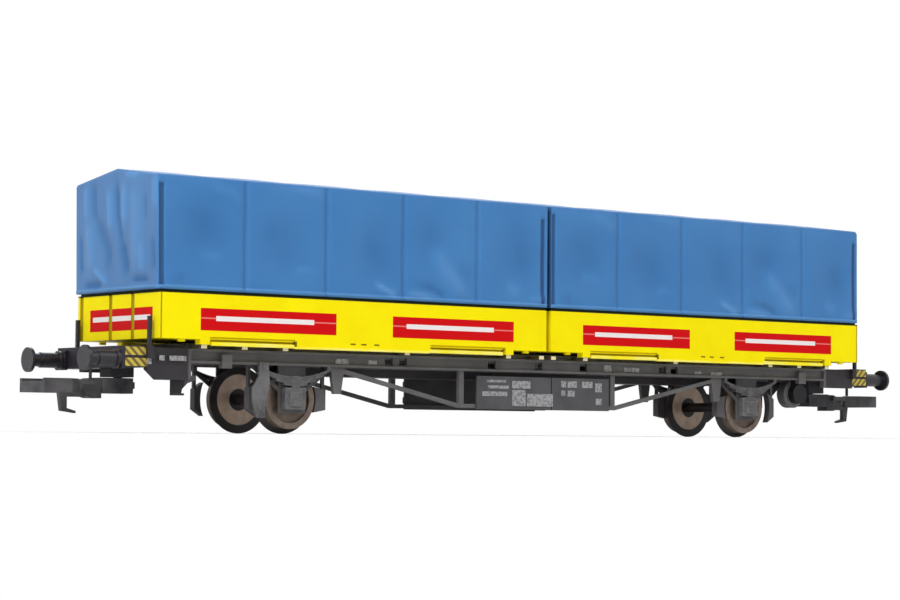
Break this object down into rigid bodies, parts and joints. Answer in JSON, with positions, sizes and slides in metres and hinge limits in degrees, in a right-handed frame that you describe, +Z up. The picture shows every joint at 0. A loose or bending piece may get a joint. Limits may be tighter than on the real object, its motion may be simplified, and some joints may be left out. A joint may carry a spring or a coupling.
{
  "type": "model railway container flat wagon with hooded swap bodies",
  "caption": "Scale model of a two-axle flat rail wagon with trussed underframe, disc wheels and loop couplers, carrying two yellow drop-side swap bodies under blue tarpaulin hoods.",
  "frame": {"origin": "middle of the wagon, at the bottom of the wheel flanges", "axes": "+X along the wagon, +Y across it away from the viewed side, +Z up"},
  "size_m": [0.2146, 0.0288, 0.0477],
  "materials": {
    "frame_plastic": "satin moulded",
    "light_plastic": "satin moulded",
    "wheel_metal": "browned",
    "axle_metal": "browned",
    "weight_metal": "plain",
    "buffer_plastic": "satin moulded",
    "coupler_plastic": "satin moulded",
    "board_plastic": "satin moulded",
    "yellow_plastic": "satin moulded",
    "tarp_plastic": "satin moulded"
  },
  "bodies": {
    "frame": {"deck": "frame_plastic", "underframe": "frame_plastic", "sills": "frame_plastic", "load_pads": "light_plastic", "ballast": "weight_metal", "end_posts": "frame_plastic", "brake_hoses": "frame_plastic", "steps": "frame_plastic", "brake_cylinder": "frame_plastic", "solebar_near": "frame_plastic", "truss_near": "frame_plastic", "boards_near": "board_plastic", "solebar_far": "frame_plastic", "truss_far": "frame_plastic", "boards_far": "board_plastic", "headstock_left": "frame_plastic", "brakes_left": "frame_plastic", "straps_left": "light_plastic", "coupler_mount_left": "frame_plastic", "axle_guard_left_near": "frame_plastic", "axlebox_left_near": "light_plastic", "spring_left_near": "frame_plastic", "buffer_left_near": "buffer_plastic", "axle_guard_left_far": "frame_plastic", "axlebox_left_far": "light_plastic", "spring_left_far": "frame_plastic", "buffer_left_far": "buffer_plastic", "headstock_right": "frame_plastic", "brakes_right": "frame_plastic", "straps_right": "light_plastic", "coupler_mount_right": "frame_plastic", "axle_guard_right_near": "frame_plastic", "axlebox_right_near": "light_plastic", "spring_right_near": "frame_plastic", "buffer_right_near": "buffer_plastic", "axle_guard_right_far": "frame_plastic", "axlebox_right_far": "light_plastic", "spring_right_far": "frame_plastic", "buffer_right_far": "buffer_plastic"},
    "wheelset_left": {"wheels_left": "wheel_metal", "axle_left": "axle_metal"},
    "coupler_left": {"coupler_pocket_left": "coupler_plastic", "coupler_head_left": "coupler_plastic"},
    "loop_left": {"coupler_loop_left": "coupler_plastic"},
    "swap_body_left": {"tray_left": "yellow_plastic", "hood_left": "tarp_plastic"},
    "wheelset_right": {"wheels_right": "wheel_metal", "axle_right": "axle_metal"},
    "coupler_right": {"coupler_pocket_right": "coupler_plastic", "coupler_head_right": "coupler_plastic"},
    "loop_right": {"coupler_loop_right": "coupler_plastic"},
    "swap_body_right": {"tray_right": "yellow_plastic", "hood_right": "tarp_plastic"}
  },
  "joints": [
    {"name": "wheelset_left_spin", "type": "hinge", "parent": "frame", "child": "wheelset_left", "pos_m": [-0.0592, 0, 0.0064], "axis": [0, 1, 0], "continuous": true},
    {"name": "coupler_left_swing", "type": "hinge", "parent": "frame", "child": "coupler_left", "pos_m": [-0.09, 0, 0.0085], "axis": [0, 0, 1], "range_deg": [-8, 8]},
    {"name": "loop_left_lift", "type": "hinge", "parent": "coupler_left", "child": "loop_left", "pos_m": [-0.096, 0, 0.0089], "axis": [0, 1, 0], "range_deg": [0, 15]},
    {"name": "swap_body_left_lift_off", "type": "slide", "parent": "frame", "child": "swap_body_left", "axis": [0, 0, 1], "range_m": [0, 0.03]},
    {"name": "wheelset_right_spin", "type": "hinge", "parent": "frame", "child": "wheelset_right", "pos_m": [0.0592, 0, 0.0064], "axis": [0, 1, 0], "continuous": true},
    {"name": "coupler_right_swing", "type": "hinge", "parent": "frame", "child": "coupler_right", "pos_m": [0.09, 0, 0.0085], "axis": [0, 0, 1], "range_deg": [-8, 8]},
    {"name": "loop_right_lift", "type": "hinge", "parent": "coupler_right", "child": "loop_right", "pos_m": [0.096, 0, 0.0089], "axis": [0, -1, 0], "range_deg": [0, 15]},
    {"name": "swap_body_right_lift_off", "type": "slide", "parent": "frame", "child": "swap_body_right", "axis": [0, 0, 1], "range_m": [0, 0.03]}
  ]
}
